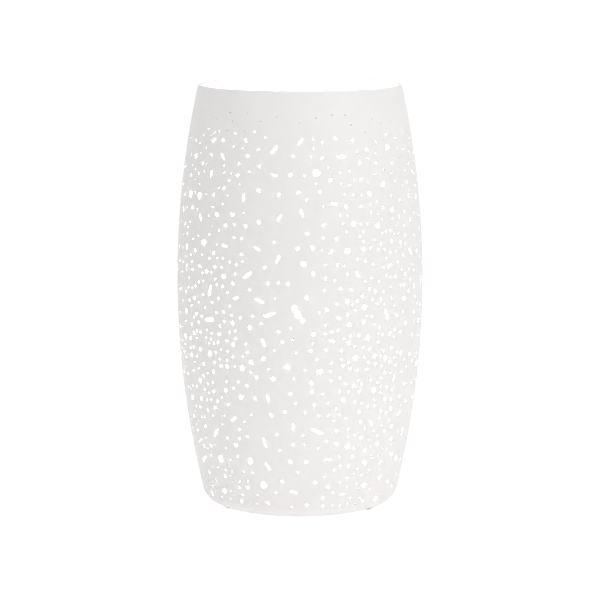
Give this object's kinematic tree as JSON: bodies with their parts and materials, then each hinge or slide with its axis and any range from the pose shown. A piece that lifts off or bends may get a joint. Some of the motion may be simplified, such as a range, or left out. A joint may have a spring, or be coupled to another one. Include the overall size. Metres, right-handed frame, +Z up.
{
  "type": "pierced porcelain table lamp",
  "caption": "Tall barrel-shaped matt white porcelain vessel, open at the top and pierced all over with small irregular holes, lit from inside by a bulb in a lampholder.",
  "frame": {"origin": "middle of the underside, on the surface that the lamp stands on", "axes": "+Z up along the body's axis of revolution; the front faces -Y and the cable inlet is on +Y"},
  "size_m": [0.146, 0.146, 0.25],
  "materials": {
    "porcelain": "unglazed biscuit porcelain, smooth matt white, slightly translucent",
    "foot_rubber": "soft matt silicone rubber",
    "grommet_pvc": "soft PVC, satin",
    "zinc_steel": "bright zinc-plated steel",
    "gasket_rubber": "black rubber",
    "holder_plastic": "white moulded thermoset, satin",
    "steatite": "unglazed cream steatite",
    "contact_brass": "stamped brass, slightly dulled",
    "spring_steel": "drawn spring wire",
    "solder": "tinned and soldered, dull bright",
    "insulator_glass": "black vitrite glass",
    "cap_nickel": "nickel-plated brass, drawn and rolled",
    "bulb_glass": "clear blown glass",
    "wire_nickel": "drawn nickel wire",
    "circuit_board": "green solder mask on glass-epoxy board",
    "capacitor_sleeve": "shrink sleeve, dark blue",
    "filament_phosphor": "phosphor-coated silicone, lit"
  },
  "bodies": {
    "lamp": {"cable_grommet": "grommet_pvc", "contact_spring": "spring_steel", "foot_pad_1": "foot_rubber", "foot_pad_2": "foot_rubber", "foot_pad_3": "foot_rubber", "holder_body": "holder_plastic", "holder_cap": "holder_plastic", "holder_grub_screw": "zinc_steel", "holder_insert": "steatite", "lower_gasket": "gasket_rubber", "lower_nut": "zinc_steel", "lower_washer": "zinc_steel", "porcelain_body": "porcelain", "side_contact": "contact_brass", "terminal_live": "contact_brass", "terminal_neutral": "contact_brass", "terminal_screw_live": "zinc_steel", "terminal_screw_neutral": "zinc_steel", "threaded_tube": "zinc_steel", "upper_gasket": "gasket_rubber", "upper_washer": "zinc_steel"},
    "bulb": {"bulb_cap": "cap_nickel", "bulb_contact": "solder", "bulb_glass": "bulb_glass", "bulb_insulator": "insulator_glass", "bulb_stem": "bulb_glass", "driver_board": "circuit_board", "driver_capacitor": "capacitor_sleeve", "filament_spider": "wire_nickel", "lead_wire_1": "wire_nickel", "lead_wire_2": "wire_nickel", "led_filament_1": "filament_phosphor", "led_filament_2": "filament_phosphor", "led_filament_3": "filament_phosphor", "led_filament_4": "filament_phosphor"},
    "contact_pin": {"centre_contact": "contact_brass"}
  },
  "joints": [
    {"name": "bulb_lift", "type": "slide", "parent": "lamp", "child": "bulb", "axis": [0, 0, 1], "range_m": [0, 0.205]},
    {"name": "contact_press", "type": "slide", "parent": "lamp", "child": "contact_pin", "axis": [0, 0, -1], "range_m": [0, 0.0012], "stiffness_N_per_m": 1200, "springref_m": -0.001, "deforming": ["contact_spring"]}
  ]
}
